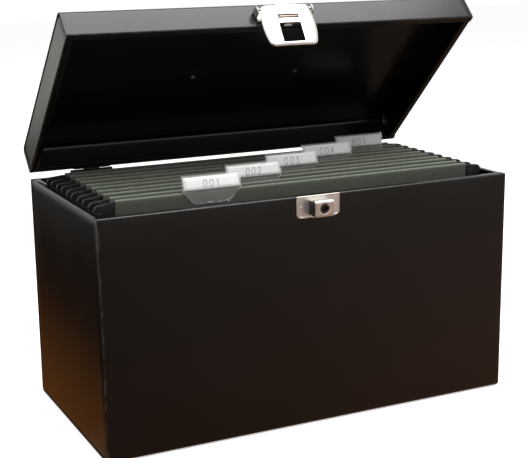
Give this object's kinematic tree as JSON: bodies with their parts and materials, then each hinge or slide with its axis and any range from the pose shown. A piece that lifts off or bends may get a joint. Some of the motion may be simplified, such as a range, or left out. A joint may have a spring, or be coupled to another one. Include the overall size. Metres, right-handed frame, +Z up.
{
  "type": "document box",
  "caption": "Lockable sheet-steel box with a hinged lid, hasp lock, carrying handle and hanging files with index tabs on two internal rails.",
  "frame": {"origin": "middle of the flat underside of the case", "axes": "+X to the right seen from the lock side, +Y from the lock side to the hinge side, +Z up"},
  "size_m": [0.42, 0.2398, 0.3897],
  "materials": {
    "black_paint": "satin black stove enamel",
    "nickel": "bright nickel plate on pressed steel",
    "zinc": "zinc plated steel",
    "black_plastic": "moulded, satin",
    "green_manila": "matt dyed manila",
    "clear_plastic": "clear, folded sheet",
    "white_card": "matt card"
  },
  "bodies": {
    "case": {"body_wrap": "black_paint", "body_end_left": "black_paint", "body_end_right": "black_paint", "file_rail_left": "black_paint", "file_rail_right": "black_paint", "hinge_left_body_leaf": "black_paint", "hinge_right_body_leaf": "black_paint", "hinge_left_pin": "zinc", "hinge_right_pin": "zinc", "lock_plate": "nickel", "lock_case": "nickel", "lock_backplate": "zinc", "lock_stud_left": "zinc", "lock_stud_right": "zinc"},
    "lid": {"lid_wrap": "black_paint", "lid_end_left": "black_paint", "lid_end_right": "black_paint", "hinge_left_lid_leaf": "black_paint", "hinge_right_lid_leaf": "black_paint", "hasp_bracket": "zinc", "hasp_pin": "zinc", "hasp_rivet_left": "zinc", "hasp_rivet_right": "zinc", "handle_clip_left": "zinc", "handle_clip_right": "zinc", "handle_spreader_left": "zinc", "handle_spreader_right": "zinc"},
    "hasp": {"hasp_plate": "nickel"},
    "handle": {"handle_bail": "zinc", "handle_grip": "black_plastic"},
    "lock_cylinder": {"lock_cylinder": "zinc"},
    "lock_bolt": {"lock_bolt": "zinc"},
    "file_1": {"file_1_folder": "green_manila", "file_1_front_bar": "black_plastic", "file_1_rear_bar": "black_plastic", "file_1_tab": "clear_plastic", "file_1_card": "white_card"},
    "file_2": {"file_2_folder": "green_manila", "file_2_front_bar": "black_plastic", "file_2_rear_bar": "black_plastic", "file_2_tab": "clear_plastic", "file_2_card": "white_card"},
    "file_3": {"file_3_folder": "green_manila", "file_3_front_bar": "black_plastic", "file_3_rear_bar": "black_plastic", "file_3_tab": "clear_plastic", "file_3_card": "white_card"},
    "file_4": {"file_4_folder": "green_manila", "file_4_front_bar": "black_plastic", "file_4_rear_bar": "black_plastic", "file_4_tab": "clear_plastic", "file_4_card": "white_card"},
    "file_5": {"file_5_folder": "green_manila", "file_5_front_bar": "black_plastic", "file_5_rear_bar": "black_plastic", "file_5_tab": "clear_plastic", "file_5_card": "white_card"}
  },
  "joints": [
    {"name": "lid_hinge", "type": "hinge", "parent": "case", "child": "lid", "pos_m": [0, 0.109, 0.2213], "axis": [-1, 0, 0], "range_deg": [-44.3, 55.7]},
    {"name": "hasp_hinge", "type": "hinge", "parent": "lid", "child": "hasp", "pos_m": [0, -0.03952, 0.38482], "axis": [-1, 0, 0], "range_deg": [0, 100]},
    {"name": "handle_fold", "type": "hinge", "parent": "lid", "child": "handle", "pos_m": [0, 0.05498, 0.32201], "axis": [1, 0, 0], "range_deg": [0, 180]},
    {"name": "key_turn", "type": "hinge", "parent": "case", "child": "lock_cylinder", "pos_m": [0, -0.1132, 0.2103], "axis": [0, -1, 0], "range_deg": [0, 90]},
    {"name": "bolt_slide", "type": "slide", "parent": "case", "child": "lock_bolt", "axis": [1, 0, 0], "range_m": [0, 0.0032]},
    {"name": "file_1_slide", "type": "slide", "parent": "case", "child": "file_1", "axis": [0, 1, 0], "range_m": [-0.015, 0.004]},
    {"name": "file_2_slide", "type": "slide", "parent": "case", "child": "file_2", "axis": [0, 1, 0], "range_m": [-0.004, 0.004]},
    {"name": "file_3_slide", "type": "slide", "parent": "case", "child": "file_3", "axis": [0, 1, 0], "range_m": [-0.004, 0.004]},
    {"name": "file_4_slide", "type": "slide", "parent": "case", "child": "file_4", "axis": [0, 1, 0], "range_m": [-0.004, 0.004]},
    {"name": "file_5_slide", "type": "slide", "parent": "case", "child": "file_5", "axis": [0, 1, 0], "range_m": [-0.004, 0.012]}
  ],
  "couplings": [
    {"joint": "key_turn", "follows": "bolt_slide", "rad_per_m": 490.6}
  ]
}
